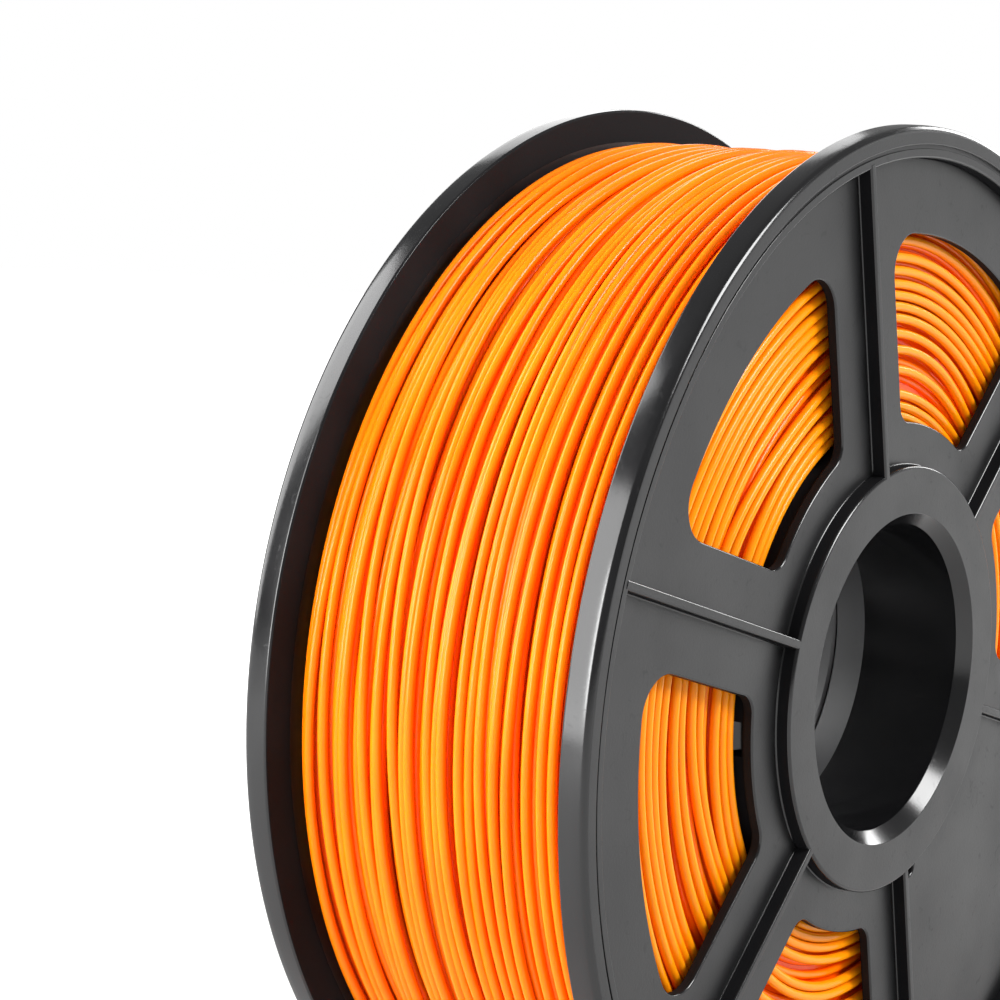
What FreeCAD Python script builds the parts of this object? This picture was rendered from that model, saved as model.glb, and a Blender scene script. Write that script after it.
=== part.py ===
"""A filament spool: two moulded halves snapped together on one hub, and the filament wound on them.

The spool stands on its two rims. The axis of its bore is Y, the front face looks towards -Y,
+Z is up, and the origin is the middle of the bore. Lengths are in millimetres, angles in
degrees. Angles round the axis are counted from +X towards +Z, as seen from the front.
"""
import FreeCAD, Part
import math
import os

os.makedirs("parts", exist_ok=True)

# Spool as a whole
FLANGE_RADIUS = 100.0
SPOOL_WIDTH = 68.0

# Rim of a flange, from the outside in
RIM_FRONT_ROUND = 1.2
RIM_REAR_ROUND = 0.5
RIM_FLAT = 2.2
RIM_GROOVE_WIDTH = 0.7
RIM_GROOVE_DEPTH = 0.7
RIM_BEAD_WIDTH = 1.7
RIM_BEAD_DROP = 0.4

# Plate of a flange, with its ribs and windows
PLATE_RECESS = 3.0
PLATE_THICKNESS = 2.0
RIB_COUNT = 6
FIRST_RIB_ANGLE = 45.0
RIB_WIDTH = 1.7
RIB_HEIGHT = 2.7
RIB_ROUND = 0.45
BLANK_SECTOR = 4
WINDOW_OUTER_RADIUS = 80.5
WINDOW_HUB_GAP = 1.2
WINDOW_TO_RIB = 10.8
WINDOW_OUTER_CORNER = 6.5
WINDOW_HUB_CORNER = 4.0
WINDOW_EDGE_ROUND = 0.45
ANCHOR_HOLE_RADIUS = 2.1
ANCHOR_HOLE_TO_RING = 2.25
ANCHOR_HOLE_TURN = 22.0

# Hub: the ring round the bore, the bore's tube and the drum that carries the filament
BORE_RADIUS = 28.0
MOUTH_RADIUS = 32.5
MOUTH_DEPTH = 2.4
TUBE_WALL = 2.4
HUB_RING_RADIUS = 38.8
HUB_RING_ROUND = 0.6
DRUM_RADIUS = 45.3
DRUM_WALL = 2.0
FRONT_TUBE_REACH = 29.0
TUBE_END_CHAMFER = 0.5
PARTING_GAP = 0.1

# Snap arms that hold the halves together
ARM_COUNT = 3
FIRST_ARM_ANGLE = 68.0
ARM_WIDTH = 5.0
ARM_THICKNESS = 2.0
ARM_CLEARANCE = 0.3
ARM_ROOT_LENGTH = 10.0
HOOK_LENGTH = 2.6
HOOK_RISE = 1.4
LATCH_TO_PLATE = 0.8
LATCH_LENGTH = 4.2
LATCH_SIDE_CLEARANCE = 0.5

# Filament
FILAMENT_DIAMETER = 1.75
STRAND_SIDES = 8
WOUND_RADIUS = 94.5
OUTER_TURNS = 24
SIDE_CLEARANCE = 0.5
CORE_CLEARANCE = 0.3
DRUM_CLEARANCE = 0.1
SIDE_RIDGES = 14
SIDE_VALLEY_WIDTH = 1.3
SIDE_VALLEY_DEPTH = 1.1
END_BEND_RADIUS = 3.0
START_ANGLE = 250.0
PIT_CLEARANCE = 0.4

AXIS = FreeCAD.Vector(0, 1, 0)
ORIGIN = FreeCAD.Vector(0, 0, 0)
WHOLE_TURN = 360.0
TOLERANCE = 1e-4

# Levels of the front half along the axis, from its front plane to the middle of the spool
front_plane = -SPOOL_WIDTH / 2
panel_level = front_plane + PLATE_RECESS
plate_back = panel_level + PLATE_THICKNESS
rib_top = panel_level - RIB_HEIGHT
tube_joint = front_plane + FRONT_TUBE_REACH
sector_angle = WHOLE_TURN / RIB_COUNT
tube_outer_radius = BORE_RADIUS + TUBE_WALL
drum_inner_radius = DRUM_RADIUS - DRUM_WALL
rim_inner_radius = FLANGE_RADIUS - RIM_FRONT_ROUND - RIM_FLAT - RIM_GROOVE_WIDTH - RIM_BEAD_WIDTH
window_hub_radius = DRUM_RADIUS + WINDOW_HUB_GAP
window_middle_radius = (WINDOW_OUTER_RADIUS + window_hub_radius) / 2


def polar(radius, angle, y=0.0):
    """Point at a radius and an angle round the axis, at place y along it."""
    turn = math.radians(angle)
    return FreeCAD.Vector(radius * math.cos(turn), y, radius * math.sin(turn))


def line(start, end):
    return Part.LineSegment(start, end).toShape()


def arc(start, middle, end):
    return Part.Arc(start, middle, end).toShape()


def ring(inner, outer, low, high):
    """Plain ring round the axis, between two radii and two levels."""
    height = high - low
    outside = Part.makeCylinder(outer, height, polar(0, 0, low), AXIS)
    return outside.cut(Part.makeCylinder(inner, height, polar(0, 0, low), AXIS))


def turned(outline):
    """Solid of revolution round the axis from (radius, y) corners."""
    corners = [FreeCAD.Vector(radius, y, 0) for radius, y in outline]
    face = Part.Face(Part.makePolygon(corners + corners[:1]))
    return face.revolve(ORIGIN, AXIS, WHOLE_TURN)


def prism(wire, depth):
    """Solid that a flat closed wire, square to the axis, sweeps along +Y."""
    return Part.Face(wire).extrude(AXIS * depth)


def bar(angle, inner, outer, width, low, high):
    """Straight bar that runs out from the axis at an angle."""
    block = Part.makeBox(outer - inner, high - low, width, FreeCAD.Vector(inner, low, -width / 2))
    block.rotate(ORIGIN, AXIS, -angle)
    return block


def round_edges(shape, edges, radius):
    return shape.makeFillet(radius, edges) if edges else shape


def edges_at(shape, level, radius=None):
    """Edges of a shape that lie flat at one level, or only the whole circle of one radius there."""
    found = []
    for edge in shape.Edges:
        box = edge.BoundBox
        flat = abs(box.YMin - level) < TOLERANCE and abs(box.YMax - level) < TOLERANCE
        if flat and (radius is None or abs(box.XMax - radius) < TOLERANCE):
            found.append(edge)
    return found


def make_rim():
    """Rounded outer ring, flush with the plate's inner face, with a fine groove and a low bead."""
    flat_inner = FLANGE_RADIUS - RIM_FRONT_ROUND - RIM_FLAT
    bead_outer = flat_inner - RIM_GROOVE_WIDTH
    groove_floor = front_plane + RIM_GROOVE_DEPTH
    bead_top = front_plane + RIM_BEAD_DROP
    outline = [
        (FLANGE_RADIUS, front_plane),
        (FLANGE_RADIUS, plate_back),
        (rim_inner_radius, plate_back),
        (rim_inner_radius, bead_top),
        (bead_outer, bead_top),
        (bead_outer, groove_floor),
        (flat_inner, groove_floor),
        (flat_inner, front_plane),
    ]
    rim = turned(outline)
    rim = round_edges(rim, edges_at(rim, front_plane, FLANGE_RADIUS), RIM_FRONT_ROUND)
    return round_edges(rim, edges_at(rim, plate_back, FLANGE_RADIUS), RIM_REAR_ROUND)


def window_outline(centre_angle):
    """Corners of a window: its sides run parallel to the two ribs beside it."""
    half = sector_angle / 2
    outer_turn = half - math.degrees(math.asin(WINDOW_TO_RIB / WINDOW_OUTER_RADIUS))
    hub_turn = half - math.degrees(math.asin(WINDOW_TO_RIB / window_hub_radius))
    low_hub = polar(window_hub_radius, centre_angle - hub_turn, panel_level)
    high_hub = polar(window_hub_radius, centre_angle + hub_turn, panel_level)
    low_outer = polar(WINDOW_OUTER_RADIUS, centre_angle - outer_turn, panel_level)
    high_outer = polar(WINDOW_OUTER_RADIUS, centre_angle + outer_turn, panel_level)
    edges = [
        arc(low_outer, polar(WINDOW_OUTER_RADIUS, centre_angle, panel_level), high_outer),
        line(high_outer, high_hub),
        arc(high_hub, polar(window_hub_radius, centre_angle, panel_level), low_hub),
        line(low_hub, low_outer),
    ]
    return Part.Wire(edges)


def distance_out(edge):
    """How far the middle of an edge lies from the axis; a whole circle round the axis has 0."""
    return math.hypot(edge.CenterOfMass.x, edge.CenterOfMass.z)


def upright_edges(cutter):
    return [edge for edge in cutter.Edges if edge.BoundBox.YLength > PLATE_THICKNESS / 2]


def make_window(centre_angle):
    """Cutter for one window, as thick as the plate, with wide corners outside and small ones at the hub."""
    cutter = prism(window_outline(centre_angle), PLATE_THICKNESS)
    outer = [edge for edge in upright_edges(cutter) if distance_out(edge) > window_middle_radius]
    cutter = cutter.makeFillet(WINDOW_OUTER_CORNER, outer)
    at_hub = [edge for edge in upright_edges(cutter) if distance_out(edge) < window_middle_radius]
    return cutter.makeFillet(WINDOW_HUB_CORNER, at_hub)


def sector_centre(sector):
    return FIRST_RIB_ANGLE + (sector + 0.5) * sector_angle


def make_plate():
    """Flat plate with its windows; the blank sector has two holes for the strand's end instead."""
    plate = ring(tube_outer_radius, rim_inner_radius, panel_level, plate_back)
    for sector in range(RIB_COUNT):
        if sector != BLANK_SECTOR:
            plate = plate.cut(make_window(sector_centre(sector)))
    window_edges = [edge for edge in edges_at(plate, panel_level) if distance_out(edge) > TOLERANCE]
    plate = round_edges(plate, window_edges, WINDOW_EDGE_ROUND)
    for turn in (-ANCHOR_HOLE_TURN, ANCHOR_HOLE_TURN):
        angle = sector_centre(BLANK_SECTOR) + turn
        place = polar(HUB_RING_RADIUS + ANCHOR_HOLE_TO_RING, angle, panel_level)
        plate = plate.cut(Part.makeCylinder(ANCHOR_HOLE_RADIUS, PLATE_THICKNESS, place, AXIS))
    return plate


def make_rib(angle):
    """Raised rib from the hub ring to the rim, with a rounded top."""
    inner = HUB_RING_RADIUS - HUB_RING_ROUND * 2
    rib = bar(angle, inner, rim_inner_radius + RIM_BEAD_WIDTH / 2, RIB_WIDTH, rib_top, panel_level)
    long_edges = [edge for edge in edges_at(rib, rib_top) if edge.Length > RIB_WIDTH * 2]
    return round_edges(rib, long_edges, RIB_ROUND)


def make_hub(tube_end):
    """Raised ring round the bore with a tapered mouth, and the tube of the bore down to a level."""
    mouth_end = rib_top + MOUTH_DEPTH
    outline = [
        (MOUTH_RADIUS, rib_top),
        (HUB_RING_RADIUS, rib_top),
        (HUB_RING_RADIUS, plate_back),
        (tube_outer_radius, plate_back),
        (tube_outer_radius, tube_end),
        (BORE_RADIUS + TUBE_END_CHAMFER, tube_end),
        (BORE_RADIUS, tube_end - TUBE_END_CHAMFER),
        (BORE_RADIUS, mouth_end),
    ]
    hub = turned(outline)
    return round_edges(hub, edges_at(hub, rib_top, HUB_RING_RADIUS), HUB_RING_ROUND)


def make_flange(tube_end):
    """Rim, plate, hub and ribs, which both halves share, placed as on the front half."""
    flange = make_rim().fuse(make_plate()).fuse(make_hub(tube_end))
    for number in range(RIB_COUNT):
        flange = flange.fuse(make_rib(FIRST_RIB_ANGLE + number * sector_angle))
    return flange


def arm_angles():
    return [FIRST_ARM_ANGLE + number * WHOLE_TURN / ARM_COUNT for number in range(ARM_COUNT)]


latch_start = plate_back + LATCH_TO_PLATE
latch_end = latch_start + LATCH_LENGTH
arm_outer_radius = drum_inner_radius - ARM_CLEARANCE
arm_inner_radius = arm_outer_radius - ARM_THICKNESS


def make_front_half():
    """Front flange, the front part of the bore, and the front drum with its latch windows."""
    drum = ring(drum_inner_radius, DRUM_RADIUS, plate_back, -PARTING_GAP)
    for angle in arm_angles():
        drum = drum.cut(
            bar(
                angle,
                drum_inner_radius - DRUM_WALL,
                DRUM_RADIUS + DRUM_WALL,
                ARM_WIDTH + 2 * LATCH_SIDE_CLEARANCE,
                latch_start,
                latch_end,
            )
        )
    return make_flange(tube_joint - PARTING_GAP).fuse(drum).removeSplitter()


def make_arm(angle):
    """Snap arm that grows out of the rear drum and hooks into a latch window."""
    hook_top = latch_start + (LATCH_LENGTH - HOOK_LENGTH) / 2
    hook_foot = hook_top + HOOK_LENGTH
    hook_radius = arm_outer_radius + HOOK_RISE + ARM_CLEARANCE
    corners = [
        (arm_inner_radius, hook_top),
        (arm_outer_radius, hook_top),
        (hook_radius, hook_foot),
        (arm_outer_radius, hook_foot),
        (arm_outer_radius, PARTING_GAP),
        (drum_inner_radius + DRUM_WALL / 2, PARTING_GAP),
        (drum_inner_radius + DRUM_WALL / 2, ARM_ROOT_LENGTH),
        (arm_inner_radius, ARM_ROOT_LENGTH),
    ]
    points = [FreeCAD.Vector(radius, y, -ARM_WIDTH / 2) for radius, y in corners]
    face = Part.Face(Part.makePolygon(points + points[:1]))
    arm = face.extrude(FreeCAD.Vector(0, 0, ARM_WIDTH))
    arm.rotate(ORIGIN, AXIS, -angle)
    return arm


def make_rear_half():
    """The same moulding turned over about its blank sector, so that the windows of both flanges line
    up, with the rear drum, a longer tube and the snap arms."""
    rear = make_flange(-tube_joint - PARTING_GAP)
    rear.rotate(ORIGIN, polar(1, sector_centre(BLANK_SECTOR)), WHOLE_TURN / 2)
    rear = rear.fuse(ring(drum_inner_radius, DRUM_RADIUS, PARTING_GAP, -plate_back))
    for angle in arm_angles():
        rear = rear.fuse(make_arm(angle))
    return rear.removeSplitter()


# Levels and radii of the winding
winding_low = plate_back + SIDE_CLEARANCE
winding_high = -winding_low
turn_radius = WOUND_RADIUS - FILAMENT_DIAMETER / 2
core_radius = turn_radius - FILAMENT_DIAMETER / 2 - CORE_CLEARANCE
pitch = (winding_high - winding_low - FILAMENT_DIAMETER) / OUTER_TURNS
first_level = winding_high - FILAMENT_DIAMETER / 2


def helix_place(turns):
    """Point and direction of the filament's centre after some turns of the outer layer."""
    angle = START_ANGLE + turns * WHOLE_TURN
    place = polar(turn_radius, angle, first_level - pitch * turns)
    step = math.radians(angle)
    round_part = FreeCAD.Vector(-math.sin(step), 0, math.cos(step)) * (2 * math.pi * turn_radius)
    direction = round_part + FreeCAD.Vector(0, -pitch, 0)
    return place, direction.normalize()


def arc_from(start, direction, end):
    """Arc that leaves start along direction and reaches end."""
    chord = end - start
    across = chord.cross(direction).cross(chord).normalize()
    bend = math.asin(min(1.0, chord.normalize().cross(direction).Length))
    chord = end - start
    rise = chord.Length / 2 * math.tan(bend / 2)
    side = -1.0 if across.dot(direction) < 0 else 1.0
    return arc(start, (start + end) * 0.5 + across * (rise * side), end)


def biarc(start, start_direction, end, end_direction):
    """Two arcs that leave start and reach end along the given directions."""
    gap = end - start
    total = start_direction + end_direction
    square = 2 * (1 - start_direction.dot(end_direction))
    along = gap.dot(total)
    reach = (-along + math.sqrt(along * along + square * gap.dot(gap))) / square
    first_knee = start + start_direction * reach
    second_knee = end - end_direction * reach
    joint = (first_knee + second_knee) * 0.5
    meeting = (second_knee - first_knee).normalize()
    return [arc_from(start, start_direction, joint), arc_from(joint, meeting, end)]


def end_dive(place, along):
    """Quarter bend and short straight run that take the strand's end square into the core."""
    inward = FreeCAD.Vector(-place.x, 0, -place.z).normalize()
    half = math.sqrt(0.5)
    centre = place + inward * END_BEND_RADIUS
    middle = centre + (along - inward) * (END_BEND_RADIUS * half)
    foot = centre + along * END_BEND_RADIUS
    tip = foot + inward * FILAMENT_DIAMETER
    return middle, foot, tip


def make_section(tip, inward):
    """Outline of the strand at its end: a polygon on the strand's own circle, square to its run."""
    step = WHOLE_TURN / STRAND_SIDES
    corners = []
    for number in range(STRAND_SIDES):
        turn = FreeCAD.Rotation(inward, (number + 0.5) * step)
        corners.append(tip + turn.multVec(AXIS * (FILAMENT_DIAMETER / 2)))
    return Part.makePolygon(corners + corners[:1])


def make_pit(place, along):
    """Cutter for the slot in the core that an end of the strand dives into, down to its tip."""
    inward = FreeCAD.Vector(-place.x, 0, -place.z).normalize()
    across = inward.cross(along)
    room = FILAMENT_DIAMETER / 2 + PIT_CLEARANCE
    corner = place - inward * (2 * room) - across * room - along * room
    length = along * (END_BEND_RADIUS + 2 * room)
    width = across * (2 * room)
    depth = inward * (2 * room + END_BEND_RADIUS + FILAMENT_DIAMETER)
    corners = [corner, corner + length, corner + length + width, corner + width, corner]
    return Part.Face(Part.makePolygon(corners)).extrude(depth)


def make_outer_turns():
    """The outermost layer of filament: one unbroken strand, whose two ends dive into the core."""
    place, direction = helix_place(0)
    middle, foot, tip = end_dive(place, -direction)
    section = make_section(tip, tip - foot)
    edges = [line(tip, foot), arc(foot, middle, place)]
    for quarter in range(1, OUTER_TURNS * 4 + 1):
        next_place, next_direction = helix_place(quarter / 4)
        edges += biarc(place, direction, next_place, next_direction)
        place, direction = next_place, next_direction
    middle, foot, tip = end_dive(place, direction)
    edges += [arc(place, middle, foot), line(foot, tip)]
    path = Part.Wire(edges)
    shell = Part.BRepOffsetAPI.MakePipeShell(path)
    shell.add(section)
    shell.build()
    shell.makeSolid()
    strand = shell.shape()
    expected = path.Length * Part.Face(section).Area
    print(f"outer turns: strand {path.Length:.0f} mm, volume {strand.Volume / expected:.4f} of expected")
    return strand, path


def least_self_gap(path):
    """Smallest gap between the strand's own turns, measured on points along its centre."""
    samples = []
    run = 0.0
    for edge in path.OrderedEdges:
        count = max(2, int(edge.Length / FILAMENT_DIAMETER))
        step = edge.Length / count
        for point in edge.discretize(count + 1)[:-1]:
            samples.append((run, point))
            run += step
    cell = 2 * pitch
    grid = {}
    for place, point in samples:
        key = (round(point.x / cell), round(point.y / cell), round(point.z / cell))
        grid.setdefault(key, []).append((place, point))
    near = range(-1, 2)
    least = cell
    for place, point in samples:
        key = (round(point.x / cell), round(point.y / cell), round(point.z / cell))
        for i in near:
            for j in near:
                for k in near:
                    for other, there in grid.get((key[0] + i, key[1] + j, key[2] + k), []):
                        if other - place > 4 * END_BEND_RADIUS:
                            least = min(least, point.distanceToPoint(there))
    return least - FILAMENT_DIAMETER


def core_side():
    """Half of the core's outline, from the drum out: rounds of filament with a valley after each pair."""
    inner = DRUM_RADIUS + DRUM_CLEARANCE
    ridge = (core_radius - inner) / SIDE_RIDGES
    corners = [(inner, winding_low)]
    for number in range(1, SIDE_RIDGES):
        valley = inner + number * ridge
        corners.append((valley - SIDE_VALLEY_WIDTH / 2, winding_low))
        corners.append((valley, winding_low + SIDE_VALLEY_DEPTH))
        corners.append((valley + SIDE_VALLEY_WIDTH / 2, winding_low))
    corners.append((core_radius, winding_low))
    return corners


def make_core():
    """The layers under the outer one, as one body with a slot for each end of the strand."""
    front_side = core_side()
    rear_side = [(radius, -level) for radius, level in reversed(front_side)]
    core = turned(front_side + rear_side)
    first_place, first_direction = helix_place(0)
    last_place, last_direction = helix_place(OUTER_TURNS)
    return core.cut(make_pit(first_place, -first_direction)).cut(make_pit(last_place, last_direction))


outer_turns, strand_path = make_outer_turns()
nodes = {
    "front_spool_half": make_front_half(),
    "rear_spool_half": make_rear_half(),
    "filament_inner_layers": make_core(),
    "filament_outer_turns": outer_turns,
}
for name, shape in nodes.items():
    solids = len(shape.Solids)
    print(f"{name}: {solids} solid, valid {shape.isValid()}, volume {shape.Volume / 1000:.2f} cm3")
    shape.exportStep(f"parts/{name}.step")
print(f"outer turns: least gap to itself {least_self_gap(strand_path):.2f} mm")
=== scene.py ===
import math
import random

import bmesh
import bpy
from mathutils import Matrix, Vector


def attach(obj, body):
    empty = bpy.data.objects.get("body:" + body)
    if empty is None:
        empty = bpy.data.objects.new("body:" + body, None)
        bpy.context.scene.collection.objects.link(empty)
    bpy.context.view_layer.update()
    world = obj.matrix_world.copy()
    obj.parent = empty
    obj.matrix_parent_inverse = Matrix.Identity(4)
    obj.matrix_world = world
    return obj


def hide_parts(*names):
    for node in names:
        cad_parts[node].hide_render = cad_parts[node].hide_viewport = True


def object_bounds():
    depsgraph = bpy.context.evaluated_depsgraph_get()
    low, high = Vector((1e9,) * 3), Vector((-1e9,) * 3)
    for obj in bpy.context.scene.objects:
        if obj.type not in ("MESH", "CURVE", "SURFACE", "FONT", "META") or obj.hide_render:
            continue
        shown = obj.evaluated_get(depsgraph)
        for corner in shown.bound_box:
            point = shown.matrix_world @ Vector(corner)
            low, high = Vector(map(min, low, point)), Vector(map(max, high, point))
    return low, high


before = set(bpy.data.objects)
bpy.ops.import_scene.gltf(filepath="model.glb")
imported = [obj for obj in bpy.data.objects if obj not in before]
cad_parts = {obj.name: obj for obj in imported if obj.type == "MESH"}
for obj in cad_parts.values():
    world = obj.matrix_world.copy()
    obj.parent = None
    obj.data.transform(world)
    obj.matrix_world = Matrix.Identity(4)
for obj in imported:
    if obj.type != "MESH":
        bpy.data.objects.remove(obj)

MM = 0.001
cad_low, cad_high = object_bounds()
half_width = cad_high.y
flange_radius = cad_high.x

# Rim of a flange
# The outer ring of each moulded half is black polystyrene with a polished edge. It is moulded in
# one shot with the plate, and has a fine groove and a low bead just inside its front flat.
RIM_THICKNESS = 5.0 * MM
RIM_FRONT_ROUND = 1.2 * MM
RIM_REAR_ROUND = 0.5 * MM
RIM_EDGE_TAPER = 0.25 * MM
RIM_EDGE_LENGTH = 2.2 * MM
RIM_FLAT = 2.2 * MM
RIM_GROOVE_WIDTH = 0.7 * MM
RIM_GROOVE_DEPTH = 0.7 * MM
RIM_BEAD_WIDTH = 1.7 * MM
RIM_BEAD_DROP = 0.4 * MM
SMALL_ROUND = 0.25 * MM
PLATE_RECESS = 3.0 * MM
RIM_SEGMENTS = 288
rim_inner_radius = flange_radius - RIM_FRONT_ROUND - RIM_FLAT - RIM_GROOVE_WIDTH - RIM_BEAD_WIDTH


def rounded_outline(corners):
    """Closed outline from (radius, depth, rounding) corners, with an arc of short steps at each."""
    steps = 5
    outline = []
    for number, (radius, depth, rounding) in enumerate(corners):
        here = Vector((radius, depth))
        if rounding == 0:
            outline.append(here)
            continue
        before = Vector(corners[number - 1][:2]) - here
        after = Vector(corners[(number + 1) % len(corners)][:2]) - here
        half_angle = before.angle(after) / 2
        reach = rounding / math.tan(half_angle)
        start = here + before.normalized() * reach
        end = here + after.normalized() * reach
        middle = (before.normalized() + after.normalized()).normalized()
        centre = here + middle * (rounding / math.sin(half_angle))
        for step in range(steps + 1):
            spoke = (start - centre).lerp(end - centre, step / steps).normalized()
            outline.append(centre + spoke * rounding)
    return outline


def turn_on_axis(mesh, outline, segments):
    """Adds a closed outline to a mesh as a solid of revolution about the spool's axis."""
    rings = []
    for segment in range(segments):
        angle = 2 * math.pi * segment / segments
        ring = []
        for radius, depth in outline:
            place = (radius * math.cos(angle), depth - half_width, radius * math.sin(angle))
            ring.append(mesh.verts.new(place))
        rings.append(ring)
    for segment, ring in enumerate(rings):
        next_ring = rings[(segment + 1) % segments]
        for number in range(len(ring)):
            after = (number + 1) % len(ring)
            mesh.faces.new((ring[number], ring[after], next_ring[after], next_ring[number]))


def add_rim(mesh):
    flat_inner = flange_radius - RIM_FRONT_ROUND - RIM_FLAT
    bead_outer = flat_inner - RIM_GROOVE_WIDTH
    corners = [
        (flange_radius, RIM_EDGE_LENGTH, 0),
        (flange_radius - RIM_EDGE_TAPER, 0, RIM_FRONT_ROUND),
        (flat_inner, 0, SMALL_ROUND),
        (flat_inner, RIM_GROOVE_DEPTH, 0),
        (bead_outer, RIM_GROOVE_DEPTH, 0),
        (bead_outer, RIM_BEAD_DROP, SMALL_ROUND / 2),
        (rim_inner_radius, RIM_BEAD_DROP, SMALL_ROUND * 2),
        (rim_inner_radius, PLATE_RECESS, 0),
        (rim_inner_radius - SMALL_ROUND, RIM_THICKNESS, 0),
        (flange_radius, RIM_THICKNESS, RIM_REAR_ROUND),
    ]
    turn_on_axis(mesh, rounded_outline(corners), RIM_SEGMENTS)


# Plate of a flange
# A flat web of the same moulding, 2 mm thick, that joins the rim to the hub. Five of its six
# sectors are open windows with softened edges, and the blank one has two small holes for the
# filament's free end.
PLATE_THICKNESS = 2.0 * MM
RIB_COUNT = 6
FIRST_RIB_ANGLE = 45.0
BLANK_SECTOR = 4
WINDOW_OUTER_RADIUS = 80.5 * MM
WINDOW_HUB_RADIUS = 46.5 * MM
WINDOW_TO_RIB = 10.8 * MM
WINDOW_OUTER_CORNER = 6.5 * MM
WINDOW_HUB_CORNER = 4.0 * MM
WINDOW_EDGE_ROUND = 0.45 * MM
TIE_HOLE_RADIUS = 2.1 * MM
TIE_HOLE_CIRCLE = 41.05 * MM
TIE_HOLE_TURN = 22.0
HUB_RING_RADIUS = 38.8 * MM
PLATE_HUB_LAP = 1.0 * MM
PLATE_EDGE_POINTS = 180
PLATE_HUB_POINTS = 90
TIE_HOLE_POINTS = 24
sector_angle = 360.0 / RIB_COUNT


def arc_points(centre, radius, start, end, steps):
    """Points on an arc from one angle to another, in degrees, both ends included."""
    points = []
    for step in range(steps + 1):
        angle = math.radians(start + (end - start) * step / steps)
        across = centre.x + radius * math.cos(angle)
        up = centre.y + radius * math.sin(angle)
        points.append(Vector((across, up)))
    return points


def circle_points(centre, radius, count):
    """Points spaced evenly round a whole circle."""
    return arc_points(centre, radius, 0, 360 - 360 / count, count - 1)


def window_outline(centre_angle):
    """Outline of a window whose sides run parallel to the ribs beside it, with its corners rounded."""
    rib_angle = centre_angle - sector_angle / 2
    outer_v = WINDOW_TO_RIB + WINDOW_OUTER_CORNER
    outer_u = math.sqrt((WINDOW_OUTER_RADIUS - WINDOW_OUTER_CORNER) ** 2 - outer_v**2)
    hub_v = WINDOW_TO_RIB + WINDOW_HUB_CORNER
    hub_u = math.sqrt((WINDOW_HUB_RADIUS + WINDOW_HUB_CORNER) ** 2 - hub_v**2)
    outer_turn = math.degrees(math.atan2(outer_v, outer_u))
    hub_turn = math.degrees(math.atan2(hub_v, hub_u))
    half = sector_angle / 2
    side = arc_points(Vector((hub_u, hub_v)), WINDOW_HUB_CORNER, hub_turn - 180, -90, steps=8)
    side += arc_points(Vector((outer_u, outer_v)), WINDOW_OUTER_CORNER, -90, outer_turn, steps=12)
    side += arc_points(Vector((0, 0)), WINDOW_OUTER_RADIUS, outer_turn, half, steps=16)[1:]
    hub_side = arc_points(Vector((0, 0)), WINDOW_HUB_RADIUS, half, hub_turn, steps=10)[:-1]
    half_outline = hub_side + side
    turned = [point @ Matrix.Rotation(math.radians(-rib_angle), 2) for point in half_outline]
    axis = Vector((math.cos(math.radians(centre_angle)), math.sin(math.radians(centre_angle))))
    mirrored = [axis * (2 * point.dot(axis)) - point for point in reversed(turned[1:-1])]
    return turned + mirrored


def add_plate(mesh):
    """Plate cut from its outlines, with a rounded edge along every outline."""
    outlines = [
        circle_points(Vector((0, 0)), rim_inner_radius + SMALL_ROUND, PLATE_EDGE_POINTS),
        circle_points(Vector((0, 0)), HUB_RING_RADIUS - PLATE_HUB_LAP, PLATE_HUB_POINTS),
    ]
    for sector in range(RIB_COUNT):
        centre_angle = FIRST_RIB_ANGLE + (sector + 0.5) * sector_angle
        if sector != BLANK_SECTOR:
            outlines.append(window_outline(centre_angle))
            continue
        for turn in (-TIE_HOLE_TURN, TIE_HOLE_TURN):
            angle = math.radians(centre_angle + turn)
            hole = Vector((math.cos(angle), math.sin(angle))) * TIE_HOLE_CIRCLE
            outlines.append(circle_points(hole, TIE_HOLE_RADIUS, TIE_HOLE_POINTS))
    curve = bpy.data.curves.new("plate_outline", "CURVE")
    curve.dimensions = "2D"
    curve.fill_mode = "BOTH"
    curve.extrude = PLATE_THICKNESS / 2 - WINDOW_EDGE_ROUND
    curve.bevel_depth = WINDOW_EDGE_ROUND
    curve.bevel_resolution = 3
    curve.offset = -WINDOW_EDGE_ROUND
    for outline in outlines:
        spline = curve.splines.new("POLY")
        spline.points.add(len(outline) - 1)
        for point, place in zip(spline.points, outline):
            point.co = (place.x, place.y, 0, 1)
        spline.use_cyclic_u = True
    shape = bpy.data.objects.new("plate_outline", curve)
    bpy.context.scene.collection.objects.link(shape)
    bpy.context.view_layer.update()
    cut_plate = bpy.data.meshes.new_from_object(shape)
    lift = PLATE_RECESS + PLATE_THICKNESS / 2 - half_width
    cut_plate.transform(Matrix.Translation((0, lift, 0)) @ Matrix.Rotation(math.radians(90), 4, "X"))
    mesh.from_mesh(cut_plate)
    bpy.data.objects.remove(shape)
    bpy.data.curves.remove(curve)
    bpy.data.meshes.remove(cut_plate)


# Ribs of a flange
# Six raised ribs of the same moulding run from the hub ring to the bead of the rim and stiffen
# the plate. Each has soft top edges and a small fillet at its foot.
RIB_WIDTH = 1.7 * MM
RIB_HEIGHT = 2.7 * MM
RIB_ROUND = 0.45 * MM
RIB_FOOT = 0.3 * MM
RIB_HUB_LAP = 0.5 * MM


def rib_section():
    """Section of a rib as (across, up) points, from one foot over the top to the other."""
    half = RIB_WIDTH / 2
    left = arc_points(Vector((-half - RIB_FOOT, RIB_FOOT)), RIB_FOOT, -90, 0, steps=4)
    left += arc_points(Vector((-half + RIB_ROUND, RIB_HEIGHT - RIB_ROUND)), RIB_ROUND, 180, 90, steps=5)
    return left + [Vector((-point.x, point.y)) for point in reversed(left)]


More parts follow.
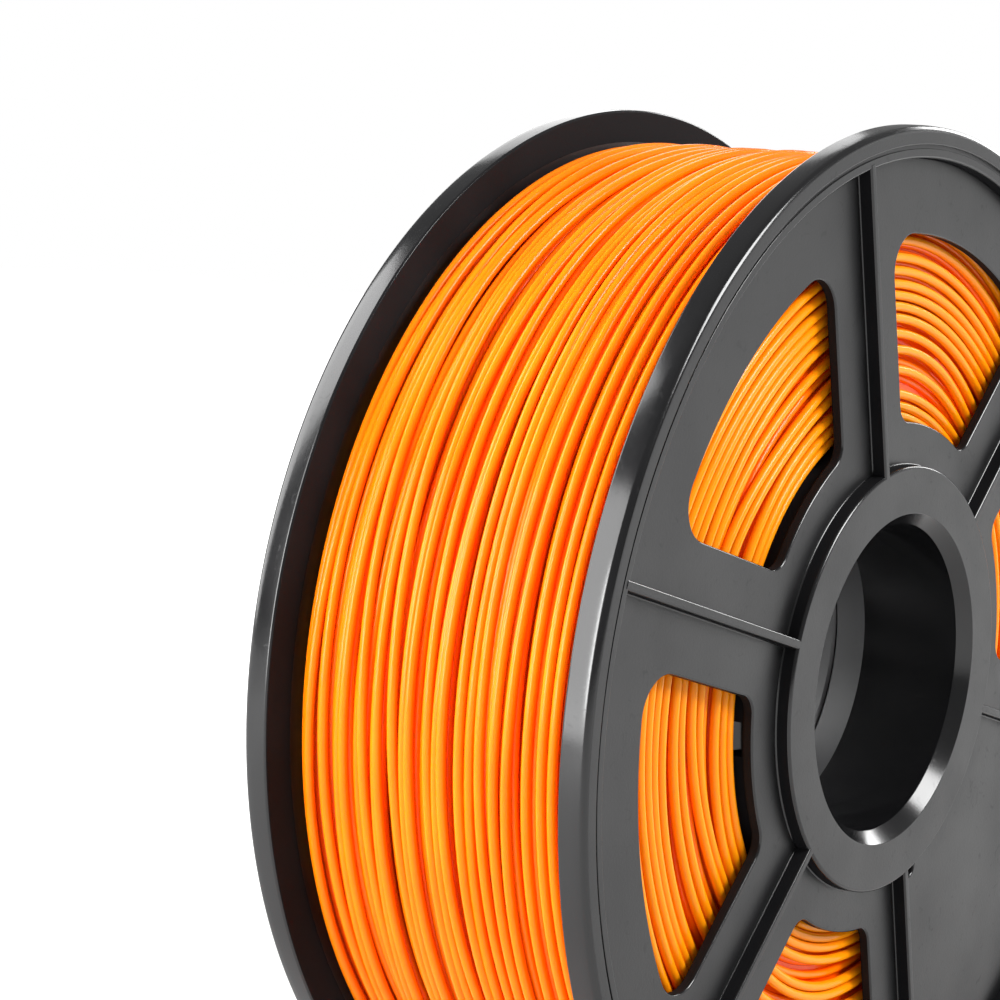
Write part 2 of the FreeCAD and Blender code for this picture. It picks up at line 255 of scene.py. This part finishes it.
def join_ends(mesh, ends):
    """Walls between two end rings of a bar, with a cap on each end."""
    for number in range(len(ends[0])):
        after = (number + 1) % len(ends[0])
        mesh.faces.new((ends[0][number], ends[0][after], ends[1][after], ends[1][number]))
    mesh.faces.new(ends[0])
    mesh.faces.new(list(reversed(ends[1])))


def add_rib(mesh, angle):
    section = rib_section()
    inner = HUB_RING_RADIUS - RIB_HUB_LAP
    outer = rim_inner_radius + RIM_BEAD_WIDTH / 2
    turn = Matrix.Rotation(math.radians(-angle), 3, "Y")
    sunk = PLATE_RECESS + WINDOW_EDGE_ROUND - half_width
    ends = []
    for along in (inner, outer):
        ring = [
            mesh.verts.new(turn @ Vector((along, PLATE_RECESS - half_width - point.y, point.x)))
            for point in section
        ]
        ring.append(mesh.verts.new(turn @ Vector((along, sunk, section[-1].x))))
        ring.append(mesh.verts.new(turn @ Vector((along, sunk, section[0].x))))
        ends.append(ring)
    join_ends(mesh, ends)


# Hub of a half
# A raised ring round the bore with a tapered mouth, and the tube that slides over a holder's
# shaft. Both are part of the same moulding.
BORE_RADIUS = 28.0 * MM
MOUTH_RADIUS = 30.2 * MM
MOUTH_DEPTH = 2.4 * MM
POLISHED_BORE_DEPTH = 22.5 * MM
TUBE_WALL = 2.4 * MM
TUBE_END_CHAMFER = 0.5 * MM
HUB_RING_ROUND = 0.6 * MM
HUB_RING_FOOT = 0.35 * MM
HUB_FOOT_REACH = 1.1 * HUB_RING_FOOT
FRONT_TUBE_REACH = 29.0 * MM
PARTING_GAP = 0.1 * MM
HUB_SEGMENTS = 192
plate_back = PLATE_RECESS + PLATE_THICKNESS
rib_top = PLATE_RECESS - RIB_HEIGHT
hub_foot_level = PLATE_RECESS + SMALL_ROUND / 8


def add_hub(mesh, tube_end):
    tube_outer = BORE_RADIUS + TUBE_WALL
    corners = [
        (MOUTH_RADIUS, rib_top, SMALL_ROUND),
        (HUB_RING_RADIUS, rib_top, HUB_RING_ROUND),
        (HUB_RING_RADIUS, hub_foot_level, HUB_RING_FOOT),
        (HUB_RING_RADIUS + HUB_FOOT_REACH, hub_foot_level, 0),
        (HUB_RING_RADIUS, plate_back, 0),
        (tube_outer, plate_back, 0),
        (tube_outer, tube_end, 0),
        (BORE_RADIUS + TUBE_END_CHAMFER, tube_end, 0),
        (BORE_RADIUS, tube_end - TUBE_END_CHAMFER, 0),
        (BORE_RADIUS, POLISHED_BORE_DEPTH, 0),
        (BORE_RADIUS, rib_top + MOUTH_DEPTH, SMALL_ROUND),
    ]
    turn_on_axis(mesh, rounded_outline(corners), HUB_SEGMENTS)


# Drum and snap arms
# The filament is wound on the drum, which grows from the plate of each half. Three springy arms of
# the rear drum slide along the inside of the front one and hook into its latch windows. That is
# all that holds the two halves together.
DRUM_RADIUS = 45.3 * MM
DRUM_WALL = 2.0 * MM
ARM_COUNT = 3
FIRST_ARM_ANGLE = 68.0
ARM_WIDTH = 5.0 * MM
ARM_THICKNESS = 2.0 * MM
ARM_CLEARANCE = 0.3 * MM
ARM_ROOT_LENGTH = 10.0 * MM
HOOK_LENGTH = 2.6 * MM
HOOK_RISE = 1.4 * MM
LATCH_TO_PLATE = 0.8 * MM
LATCH_LENGTH = 4.2 * MM
LATCH_SIDE_CLEARANCE = 0.5 * MM
latch_start = plate_back + LATCH_TO_PLATE - half_width
arm_angles = [FIRST_ARM_ANGLE + number * 360 / ARM_COUNT for number in range(ARM_COUNT)]


def add_bar(mesh, outline, width, angle):
    """Adds a bar that an outline of (radius, level) corners sweeps across, at an angle round the axis."""
    turn = Matrix.Rotation(math.radians(-angle), 3, "Y")
    ends = []
    for across in (-width / 2, width / 2):
        ends.append([mesh.verts.new(turn @ Vector((radius, level, across))) for radius, level in outline])
    join_ends(mesh, ends)


def add_arm(mesh, angle):
    outer = DRUM_RADIUS - DRUM_WALL - ARM_CLEARANCE
    inner = outer - ARM_THICKNESS
    hook_top = latch_start + (LATCH_LENGTH - HOOK_LENGTH) / 2
    outline = [
        (inner, hook_top),
        (outer, hook_top),
        (outer + HOOK_RISE + ARM_CLEARANCE, hook_top + HOOK_LENGTH),
        (outer, hook_top + HOOK_LENGTH),
        (outer, PARTING_GAP),
        (DRUM_RADIUS - DRUM_WALL / 2, PARTING_GAP),
        (DRUM_RADIUS - DRUM_WALL / 2, ARM_ROOT_LENGTH),
        (inner, ARM_ROOT_LENGTH),
    ]
    add_bar(mesh, outline, ARM_WIDTH, angle)


def linked_object(name, mesh):
    """Object made of a mesh under construction, which it frees."""
    data = bpy.data.meshes.new(name)
    bmesh.ops.recalc_face_normals(mesh, faces=mesh.faces)
    mesh.to_mesh(data)
    mesh.free()
    made = bpy.data.objects.new(name, data)
    bpy.context.scene.collection.objects.link(made)
    return made


def latch_cutter():
    """Three bars that cut an opening for each hook."""
    mesh = bmesh.new()
    outline = [
        (DRUM_RADIUS - 2 * DRUM_WALL, latch_start),
        (DRUM_RADIUS + DRUM_WALL, latch_start),
        (DRUM_RADIUS + DRUM_WALL, latch_start + LATCH_LENGTH),
        (DRUM_RADIUS - 2 * DRUM_WALL, latch_start + LATCH_LENGTH),
    ]
    for angle in arm_angles:
        add_bar(mesh, outline, ARM_WIDTH + 2 * LATCH_SIDE_CLEARANCE, angle)
    return linked_object("latch_cutter", mesh)


def add_drum(mesh, latched):
    """Adds a half's drum, with an opening for each hook where it is the latched one."""
    drum_start = PLATE_RECESS + PLATE_THICKNESS / 2
    drum_end = half_width - PARTING_GAP
    corners = [
        (DRUM_RADIUS, drum_start, 0),
        (DRUM_RADIUS, drum_end, 0),
        (DRUM_RADIUS - DRUM_WALL, drum_end, 0),
        (DRUM_RADIUS - DRUM_WALL, drum_start, 0),
    ]
    drum_mesh = bmesh.new()
    turn_on_axis(drum_mesh, rounded_outline(corners), HUB_SEGMENTS)
    drum = linked_object("drum", drum_mesh)
    scraps = [drum.data]
    if latched:
        cutter = latch_cutter()
        drum.modifiers.new("latch_windows", "BOOLEAN").object = cutter
        scraps.append(cutter.data)
    bpy.context.view_layer.update()
    shaped = bpy.data.meshes.new_from_object(drum.evaluated_get(bpy.context.evaluated_depsgraph_get()))
    mesh.from_mesh(shaped)
    scraps.append(shaped)
    for scrap in scraps:
        bpy.data.meshes.remove(scrap)


# Black plastic of both halves
# Injection-moulded polystyrene, pigmented black. Its outer faces are satin from the mould, the rim's
# outside and the ends of the bore are polished, and all of it has fine rubbing marks. Deep in the bore it
# is painted paler, which is painted light.
PLASTIC_BLACK = (0.006, 0.006, 0.0065)


def new_material(name):
    """Material with its node tree and its shader."""
    material = bpy.data.materials.new(name)
    material.use_nodes = True
    tree = material.node_tree
    return material, tree, tree.nodes["Principled BSDF"]


def noise(tree, place, scale, detail, distortion=0.0):
    """Cloudy value that stays fixed to the object."""
    node = tree.nodes.new("ShaderNodeTexNoise")
    node.inputs["Scale"].default_value = scale
    node.inputs["Detail"].default_value = detail
    node.inputs["Distortion"].default_value = distortion
    tree.links.new(place, node.inputs["Vector"])
    return node.outputs["Fac"]


def two_tone(tree, value, low, low_colour, high, high_colour):
    """Colour that goes from one shade to another as a value goes from low to high."""
    node = tree.nodes.new("ShaderNodeValToRGB")
    first, last = node.color_ramp.elements
    first.position = low
    first.color = (*low_colour, 1)
    last.position = high
    last.color = (*high_colour, 1)
    tree.links.new(value, node.inputs["Fac"])
    return node.outputs["Color"]


def ranged(tree, value, from_low, from_high, to_low=0.0, to_high=1.0):
    """Value taken from one range to another, and held at its ends."""
    node = tree.nodes.new("ShaderNodeMapRange")
    node.inputs["From Min"].default_value = from_low
    node.inputs["From Max"].default_value = from_high
    node.inputs["To Min"].default_value = to_low
    node.inputs["To Max"].default_value = to_high
    tree.links.new(value, node.inputs["Value"])
    return node.outputs["Result"]


def worked_out(tree, operation, *inputs):
    """Result of a calculation, whose inputs are numbers or other nodes' values."""
    node = tree.nodes.new("ShaderNodeMath")
    node.operation = operation
    for socket, value in zip(node.inputs, inputs):
        if isinstance(value, (int, float)):
            socket.default_value = value
        else:
            tree.links.new(value, socket)
    return node.outputs["Value"]


def fine_relief(tree, shader, pattern, height):
    """Small bumps that follow a pattern, up to a height."""
    node = tree.nodes.new("ShaderNodeBump")
    node.inputs["Distance"].default_value = height
    tree.links.new(pattern, node.inputs["Height"])
    tree.links.new(node.outputs["Normal"], shader.inputs["Normal"])


def moulded_plastic(name, shade, roughness, sheen, grain):
    """Black plastic, whose shade says how many times paler than the base black it is."""
    material, tree, shader = new_material(name)
    shader.inputs["IOR"].default_value = 1.55
    shader.inputs["Specular IOR Level"].default_value = sheen
    place = tree.nodes.new("ShaderNodeTexCoord").outputs["Object"]
    cloud = noise(tree, place, scale=60, detail=6)
    dark = [value * shade * 0.8 for value in PLASTIC_BLACK]
    pale = [value * shade * 1.2 for value in PLASTIC_BLACK]
    tree.links.new(two_tone(tree, cloud, 0.3, dark, 0.75, pale), shader.inputs["Base Color"])
    polish = ranged(tree, cloud, 0.3, 0.7, roughness * 0.85, roughness * 1.2)
    scuff = noise(tree, place, scale=420, detail=8, distortion=1.5)
    rubbed = ranged(tree, scuff, 0.62, 0.72, to_high=0.1)
    tree.links.new(worked_out(tree, "ADD", polish, rubbed), shader.inputs["Roughness"])
    fine_relief(tree, shader, noise(tree, place, scale=2600, detail=3), grain)
    return material


half_plastics = [
    moulded_plastic("satin_black_plastic", shade=1, roughness=0.38, sheen=0.5, grain=0.02 * MM),
    moulded_plastic("polished_black_plastic", shade=1, roughness=0.15, sheen=0.5, grain=0.004 * MM),
    moulded_plastic("matt_black_plastic", shade=2, roughness=0.6, sheen=0.03, grain=0.02 * MM),
    # Painted light: four times paler than the base black, for the light that reaches deep into the bore.
    moulded_plastic("bore_plastic_painted_pale", shade=4, roughness=0.42, sheen=1.0, grain=0.02 * MM),
]
SATIN, POLISHED, MATT, PAINTED_LIGHT_BORE = range(len(half_plastics))

# Front half of the spool
# One moulding: rim, plate, ribs, hub ring, the front part of the bore's tube and the front drum.
# It snaps onto the rear half's three arms.
BORE_MARGIN = 0.28 * MM
OUTER_FLAT_FACING = 0.97
INNER_FLAT_FACING = -0.9
RECESS_WALL_FACING = 0.3
FLAT_FACING = 0.999
SHARP_EDGE_ANGLE = 38


def plastic_of(face):
    """Which plastic a face shows: satin on the outer flats, matt towards the filament and on the walls
    inside the rim, a paler one deep in the bore that is painted light, and polished everywhere else."""
    middle = face.calc_center_median()
    from_axis = math.hypot(middle.x, middle.z)
    outwardness = face.normal.y * math.copysign(1, middle.y)
    if from_axis < BORE_RADIUS + BORE_MARGIN and abs(middle.y) < half_width - POLISHED_BORE_DEPTH:
        return PAINTED_LIGHT_BORE
    if outwardness > OUTER_FLAT_FACING:
        return SATIN
    in_recess = MOUTH_RADIUS < from_axis < rim_inner_radius
    if outwardness < INNER_FLAT_FACING or in_recess and outwardness < RECESS_WALL_FACING:
        return MATT
    return POLISHED


def finish_half(name, mesh, node):
    """Turns a half's mesh into its object, with its plastics and its place in the part."""
    bmesh.ops.recalc_face_normals(mesh, faces=mesh.faces)
    mesh.normal_update()
    for face in mesh.faces:
        face.material_index = plastic_of(face)
        face.smooth = abs(face.normal.y) < FLAT_FACING
    half = linked_object(name, mesh)
    for plastic in half_plastics:
        half.data.materials.append(plastic)
    half.data.set_sharp_from_angle(angle=math.radians(SHARP_EDGE_ANGLE))
    half.modifiers.new("even_shading", "WEIGHTED_NORMAL").keep_sharp = True
    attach(half, "root")
    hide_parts(node)


def flange_mesh(tube_end, latched):
    mesh = bmesh.new()
    add_rim(mesh)
    add_plate(mesh)
    for number in range(RIB_COUNT):
        add_rib(mesh, FIRST_RIB_ANGLE + number * sector_angle)
    add_hub(mesh, tube_end)
    add_drum(mesh, latched)
    return mesh


front_mesh = flange_mesh(FRONT_TUBE_REACH - PARTING_GAP, latched=True)
finish_half("front_half", front_mesh, "front_spool_half")

# Rear half of the spool
# The same moulding turned over about its blank sector, with a longer tube that meets the front
# one inside the bore, and the three snap arms.
rear_mesh = flange_mesh(2 * half_width - FRONT_TUBE_REACH - PARTING_GAP, latched=False)
blank_angle = math.radians(FIRST_RIB_ANGLE + (BLANK_SECTOR + 0.5) * sector_angle)
blank_line = Vector((math.cos(blank_angle), 0, math.sin(blank_angle)))
bmesh.ops.rotate(rear_mesh, verts=rear_mesh.verts, matrix=Matrix.Rotation(math.pi, 3, blank_line))
for arm_angle in arm_angles:
    add_arm(rear_mesh, arm_angle)
finish_half("rear_half", rear_mesh, "rear_spool_half")

# Filament, the outermost turns
# One unbroken strand of extruded orange polymer, laid back and forth across the drum under
# tension. Its turns lie in uneven pairs and threes, and the layer below shows between them.
STRAND_RADIUS = 0.875 * MM
STRAND_SIDES = 12
OUTER_TURNS = 24
OUTER_LAYER_RADIUS = 93.6 * MM
LAYER_RISE = 1.7 * MM
TURN_STEPS = 180
WINDING_HALF = 28.4 * MM
GAP_WAVES = (1, 2, 3, 4)
GAP_SWING = (0.3, 0.95)
SMALLEST_GAP = 0.02
LAYER_SINK = 1.0 * MM
LAYER_DRIFT = 1.1 * MM
DRIFT_EDGE_ROOM = 3 * MM
END_DIVE = 2.6 * MM
END_DIVE_STEPS = 24
FRONT_SAG = 2.0 * MM
FRONT_SAG_START = 19 * MM
FRONT_SAG_WIDTH = 9 * MM
REAR_SAG = 0.5 * MM
REAR_SAG_START = 24 * MM
REAR_SAG_WIDTH = 5 * MM
HOLLOW_DEPTH = 2.6 * MM
CREST_DEPTH = 0.8 * MM
SIDE_DEPTH = 2.4 * MM
SIDE_FADE_START = 2.8 * MM
SIDE_FADE_END = 1.7 * MM
RICH_ORANGE = (1.0, 0.18, 0.001)
BRIGHT_ORANGE = (1.0, 0.225, 0.002)
# Painted shade: the redder orange of the hollows between turns and of the layer below.
PAINTED_SHADE_ORANGE = (1.0, 0.13, 0.0, 1)
# Painted light: the paler orange of the side turns that show through the windows.
PAINTED_LIGHT_SIDE_ORANGE = (1.0, 0.3, 0.003, 1)


def uneven_lanes(turns, width, looseness, chance):
    """Spacing of a layer's turns: for each turn, where it lies at any share of a revolution.

    The spare width is shared out unevenly, and each gap opens and closes up to four times round
    the spool, so that neighbouring turns run together and part again. The last turn lies against
    the flange."""
    spare = width - (turns + 1) * 2 * STRAND_RADIUS
    gaps = []
    for _ in range(turns + 1):
        size = chance.random() ** looseness
        waves = chance.choice(GAP_WAVES)
        gaps.append((size, waves, chance.uniform(0, 2 * math.pi), chance.uniform(*GAP_SWING)))
    gaps[-1] = (0.0, 1, 0.0, 0.0)

    def openings(share):
        sizes = []
        for size, waves, phase, swing in gaps:
            opening = 1 + SMALLEST_GAP + swing * math.sin(waves * 2 * math.pi * share + phase)
            sizes.append(size * opening)
        total = sum(sizes)
        return [2 * STRAND_RADIUS + spare * size / total for size in sizes]

    def lane(travelled):
        whole = min(int(travelled), turns - 1)
        share = travelled - whole
        steps = openings(share)
        return -width / 2 + STRAND_RADIUS + sum(steps[:whole]) + share * steps[whole]

    return lane


def strand_tube(points, across, sides):
    """Vertices and faces of a round strand along a list of points."""
    verts = []
    faces = []
    count = len(points)
    for number, point in enumerate(points):
        before = points[max(number - 1, 0)]
        after = points[min(number + 1, count - 1)]
        along = (after - before).normalized()
        side = along.cross(across(point)).normalized()
        up = side.cross(along)
        for step in range(sides):
            angle = 2 * math.pi * step / sides
            verts.append(point + (side * math.cos(angle) + up * math.sin(angle)) * STRAND_RADIUS)
    for number in range(count - 1):
        for step in range(sides):
            after = (step + 1) % sides
            low = number * sides
            faces.append((low + step, low + after, low + sides + after, low + sides + step))
    faces.append(tuple(range(sides - 1, -1, -1)))
    faces.append(tuple(range((count - 1) * sides, count * sides)))
    return verts, faces


def outward(point):
    return Vector((point.x, 0, point.z)).normalized()


def sag(place):
    """How much lower the pack is beside the flanges, most of all at the front."""
    front = max(0.0, (-place - FRONT_SAG_START) / FRONT_SAG_WIDTH)
    rear = max(0.0, (place - REAR_SAG_START) / REAR_SAG_WIDTH)
    return FRONT_SAG * front**1.5 + REAR_SAG * rear**2


def random_waves(chance, count, slowest, fastest):
    """Waves round the spool, each with its rate and its phase."""
    return [(chance.uniform(slowest, fastest), chance.uniform(0, 2 * math.pi)) for _ in range(count)]


def wander(waves, angle):
    """Mean of the waves at an angle, from -1 to 1."""
    return sum(math.sin(rate * angle + phase) for rate, phase in waves) / len(waves)


def layer_points(turns, radius, direction, chance, looseness):
    """Centre line of one layer, from one flange to the other."""
    lane = uneven_lanes(turns, 2 * WINDING_HALF, looseness, chance)
    sway = random_waves(chance, count=3, slowest=0.5, fastest=3.5)
    drift = random_waves(chance, count=3, slowest=0.7, fastest=2.3)
    start = chance.uniform(0, 2 * math.pi)
    points = []
    for step in range(turns * TURN_STEPS + 1):
        travelled = step / TURN_STEPS
        angle = start + 2 * math.pi * travelled
        place = direction * lane(travelled)
        edge_room = min(1.0, (WINDING_HALF - STRAND_RADIUS - abs(place)) / DRIFT_EDGE_ROOM)
        place += wander(drift, angle) * LAYER_DRIFT * edge_room
        sink = (1 - wander(sway, angle)) / 2 * LAYER_SINK
        from_end = min(travelled, turns - travelled) * TURN_STEPS / END_DIVE_STEPS
        dive = END_DIVE * max(0.0, 1 - from_end) ** 2
        out = radius - sink - sag(place) - dive
        points.append(Vector((out * math.cos(angle), place, out * math.sin(angle))))
    return points


def length_of(tree, vector):
    """Length of a vector."""
    node = tree.nodes.new("ShaderNodeVectorMath")
    node.operation = "LENGTH"
    tree.links.new(vector, node.inputs[0])
    return node.outputs["Value"]


def mixed(tree, share, first, second):
    """Mix of two colours, each a fixed one or another node's."""
    node = tree.nodes.new("ShaderNodeMix")
    node.data_type = "RGBA"
    tree.links.new(share, node.inputs["Factor"])
    for socket, colour in ((node.inputs["A"], first), (node.inputs["B"], second)):
        if isinstance(colour, tuple):
            socket.default_value = colour
        else:
            tree.links.new(colour, socket)
    return node.outputs["Result"]


def filament_plastic():
    """Orange with painted shade, redder in the hollows between turns, and painted light, paler on the
    turns at the sides of the pack.
    """
    material, tree, shader = new_material("orange_filament")
    shader.inputs["IOR"].default_value = 1.46
    shader.inputs["Specular IOR Level"].default_value = 0.22
    shader.inputs["Subsurface Weight"].default_value = 0.15
    shader.inputs["Subsurface Radius"].default_value = (1.0, 0.3, 0.08)
    shader.inputs["Subsurface Scale"].default_value = 1.5 * MM
    place = tree.nodes.new("ShaderNodeTexCoord").outputs["Object"]
    cloud = noise(tree, place, scale=45, detail=4)
    tone = two_tone(tree, cloud, 0.3, RICH_ORANGE, 0.7, BRIGHT_ORANGE)
    parts = tree.nodes.new("ShaderNodeSeparateXYZ")
    tree.links.new(place, parts.inputs["Vector"])
    spoke = tree.nodes.new("ShaderNodeCombineXYZ")
    tree.links.new(parts.outputs["X"], spoke.inputs["X"])
    tree.links.new(parts.outputs["Z"], spoke.inputs["Z"])
    reach = length_of(tree, spoke.outputs["Vector"])
    # Painted shade: the deeper a strand's surface lies, the redder it is painted, down to the hollow
    # orange.
    high = ranged(tree, reach, OUTER_LAYER_RADIUS - HOLLOW_DEPTH, OUTER_LAYER_RADIUS - CREST_DEPTH)
    # Painted light: turns near the flanges and below the outer layers, seen through the windows, are
    # painted paler as if lit more.
    beside = worked_out(tree, "ABSOLUTE", parts.outputs["Y"])
    near_side = ranged(tree, beside, WINDING_HALF - SIDE_FADE_START, WINDING_HALF - SIDE_FADE_END)
    inside = worked_out(tree, "LESS_THAN", reach, OUTER_LAYER_RADIUS - SIDE_DEPTH)
    painted_light_at_side = worked_out(tree, "MULTIPLY", near_side, inside)
    hollow_shade_painted = mixed(tree, high, PAINTED_SHADE_ORANGE, tone)
    tree.links.new(mixed(tree, painted_light_at_side, hollow_shade_painted, PAINTED_LIGHT_SIDE_ORANGE), shader.inputs["Base Color"])
    tree.links.new(ranged(tree, cloud, 0.0, 1.0, 0.12, 0.2), shader.inputs["Roughness"])
    fine_relief(tree, shader, noise(tree, place, scale=700, detail=2), 0.01 * MM)
    return material


orange_filament = filament_plastic()


def make_strand(name, points, across, sides):
    verts, faces = strand_tube(points, across, sides)
    data = bpy.data.meshes.new(name)
    data.from_pydata(verts, [], faces)
    data.materials.append(orange_filament)
    for polygon in data.polygons:
        polygon.use_smooth = len(polygon.vertices) == 4
    strand = bpy.data.objects.new(name, data)
    bpy.context.scene.collection.objects.link(strand)
    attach(strand, "root")
    return strand


outer_turns = make_strand(
    "outer_turns",
    layer_points(OUTER_TURNS, OUTER_LAYER_RADIUS, 1, random.Random(4), looseness=2.2),
    outward,
    STRAND_SIDES,
)
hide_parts("filament_outer_turns")

# Filament, the layer below
# The same strand on its way back across the drum, wound the other way along, so that it crosses
# under the outermost turns at a slight angle.
LOWER_TURNS = 30
make_strand(
    "lower_turns",
    layer_points(LOWER_TURNS, OUTER_LAYER_RADIUS - LAYER_RISE, -1, random.Random(9), looseness=1.5),
    outward,
    STRAND_SIDES,
)

# Filament, the sides of the pack
# Each layer's last turn lies against a flange before the strand climbs to the next layer. These
# turns are what shows through the windows, made here as two long spirals at each side, one behind
# the other.
SIDE_TURNS = 17
SIDE_INNER_RADIUS = 45.5 * MM
SIDE_OUTER_RADIUS = 90.6 * MM
SIDE_CLEARANCE = 0.6 * MM
SIDE_DIP = 0.35 * MM
SIDE_LOOSENESS = 2.0
SIDE_STRAND_SIDES = 10
HIDDEN_STRAND_SIDES = 8


def along_axis(point):
    return Vector((0, 1, 0))


def side_points(level, turns, chance, direction):
    lane = uneven_lanes(turns, SIDE_OUTER_RADIUS - SIDE_INNER_RADIUS, SIDE_LOOSENESS, chance)
    middle = (SIDE_INNER_RADIUS + SIDE_OUTER_RADIUS) / 2
    sway = random_waves(chance, count=5, slowest=0.4, fastest=2.7)
    start = chance.uniform(0, 2 * math.pi)
    points = []
    for step in range(turns * TURN_STEPS + 1):
        travelled = step / TURN_STEPS
        angle = start + direction * 2 * math.pi * travelled
        out = middle + lane(travelled)
        place = level + wander(sway, angle) * SIDE_DIP
        points.append(Vector((out * math.cos(angle), place, out * math.sin(angle))))
    return points


side_level = WINDING_HALF - STRAND_RADIUS - SIDE_CLEARANCE
for side_name, side, seed in (("front", -1, 21), ("rear", 1, 22)):
    make_strand(
        f"{side_name}_side_turns",
        side_points(side * side_level, SIDE_TURNS, random.Random(seed), 1),
        along_axis,
        SIDE_STRAND_SIDES,
    )
    make_strand(
        f"{side_name}_second_side_turns",
        side_points(side * (side_level - LAYER_RISE), SIDE_TURNS, random.Random(seed + 10), -1),
        along_axis,
        HIDDEN_STRAND_SIDES,
    )

# Filament, the middle of the pack
# All the layers that never show, as one closed ring between the side turns and under the layer
# below. It is the same orange plastic.
PACK_ROUND = 0.5 * MM
pack_outer = OUTER_LAYER_RADIUS - LAYER_RISE - 2 * STRAND_RADIUS
pack_inner = DRUM_RADIUS + 2 * PARTING_GAP
pack_front = half_width - side_level + 2 * STRAND_RADIUS
pack_rear = 2 * half_width - pack_front
pack_corners = [
    (pack_outer, pack_front, PACK_ROUND),
    (pack_outer, pack_rear, PACK_ROUND),
    (pack_inner, pack_rear, 0),
    (pack_inner, pack_front, 0),
]
pack_mesh = bmesh.new()
turn_on_axis(pack_mesh, rounded_outline(pack_corners), HUB_SEGMENTS)
inner_pack = linked_object("inner_pack", pack_mesh)
inner_pack.data.materials.append(orange_filament)
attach(inner_pack, "root")
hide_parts("filament_inner_layers")

# Floor and background
# A wide pale sheet that the spool stands on by its two rims, against a white background. Both look
# white to the camera and are dimmer in reflections, so that the polished plastic stays black.
FLOOR_HALF = 3.0
floor_mesh = bmesh.new()
bmesh.ops.create_grid(floor_mesh, x_segments=8, y_segments=8, size=FLOOR_HALF)
floor_data = bpy.data.meshes.new("floor")
floor_mesh.to_mesh(floor_data)
floor_mesh.free()
floor = bpy.data.objects.new("floor", floor_data)
floor.location.z = cad_low.z
bpy.context.scene.collection.objects.link(floor)
floor_paint, floor_tree, floor_shader = new_material("pale_floor")
floor_shader.inputs["Base Color"].default_value = (0.5, 0.5, 0.5, 1)
floor_shader.inputs["Roughness"].default_value = 0.9
floor_shader.inputs["Emission Color"].default_value = (1, 1, 1, 1)
floor_place = floor_tree.nodes.new("ShaderNodeTexCoord").outputs["Object"]
floor_reach = length_of(floor_tree, floor_place)
floor_fade = ranged(floor_tree, floor_reach, 0.1, 0.45, to_low=0.6)
floor_view = floor_tree.nodes.new("ShaderNodeLightPath").outputs
floor_seen = worked_out(
    floor_tree, "MULTIPLY_ADD", floor_view["Is Glossy Ray"], 0.3, floor_view["Is Camera Ray"]
)
floor_glow = worked_out(floor_tree, "MULTIPLY", floor_seen, floor_fade)
floor_tree.links.new(floor_glow, floor_shader.inputs["Emission Strength"])
floor_data.materials.append(floor_paint)

world = bpy.data.worlds.new("white_studio")
world.use_nodes = True
bpy.context.scene.world = world
sky_tree = world.node_tree
sky = sky_tree.nodes["Background"]
sky.inputs["Color"].default_value = (1, 1, 1, 1)
sky_view = sky_tree.nodes.new("ShaderNodeLightPath").outputs
sky_gloss = worked_out(sky_tree, "MULTIPLY_ADD", sky_view["Is Glossy Ray"], -0.35, 0.6)
sky_level = worked_out(sky_tree, "MULTIPLY_ADD", sky_view["Is Camera Ray"], 0.4, sky_gloss)
sky_tree.links.new(sky_level, sky.inputs["Strength"])

# Studio lamps
# Seven soft boxes. Two at the left show along the front rim and on the strands, and two behind the
# spool along the rear rim. One above in front and one at the right light the windows and the edges,
# and the broad dim one at the right is what the face reflects.


def soft_box(name, place, width, height, power):
    lamp = bpy.data.lights.new(name, "AREA")
    lamp.shape = "RECTANGLE"
    lamp.size = width
    lamp.size_y = height
    lamp.energy = power
    box = bpy.data.objects.new(name, lamp)
    box.location = place
    box.rotation_euler = (-Vector(place)).to_track_quat("-Z", "Y").to_euler()
    bpy.context.scene.collection.objects.link(box)


soft_box("left_strip", (-1.22, 0.28, 0.1), 0.16, 0.7, 6)
soft_box("left_soft_box", (-0.49, 0.14, 0.11), 0.34, 0.4, 2.6)
soft_box("back_soft_box", (-0.42, 0.9, 0.465), 0.6, 1.1, 13)
soft_box("far_soft_box", (0.85, 0.79, 0.59), 0.5, 0.75, 2.4)
soft_box("front_soft_box", (0.3, -1.1, 0.9), 0.6, 0.6, 20)
soft_box("right_soft_box", (1.2, 0.0, 0.55), 0.5, 0.5, 7)
soft_box("face_soft_box", (1.1, -0.65, 0.1), 1.4, 1.2, 4)

# Camera
# Left of the front face and a little above the middle of the spool, close in, with the frame
# offset so that the spool runs out of it at the right and below.
CAMERA_PLACE = Vector((-0.4190, -0.2463, 0.0816))
CAMERA_FORWARD = Vector((0.8382, 0.5427, -0.0545))
CAMERA_UP = Vector((0.0046, 0.0929, 0.9957))
camera_data = bpy.data.cameras.new("camera")
camera_data.lens = 93.6
camera_data.shift_x = -0.15
camera_data.shift_y = -0.15
camera_data.clip_start = 0.01
camera = bpy.data.objects.new("camera", camera_data)
camera_right = CAMERA_FORWARD.cross(CAMERA_UP).normalized()
camera_up = camera_right.cross(CAMERA_FORWARD).normalized()
camera_turn = Matrix((camera_right, camera_up, -CAMERA_FORWARD.normalized())).transposed()
camera.matrix_world = Matrix.Translation(CAMERA_PLACE) @ camera_turn.to_4x4()
bpy.context.scene.collection.objects.link(camera)
bpy.context.scene.camera = camera
bpy.context.scene.view_settings.view_transform = "Standard"
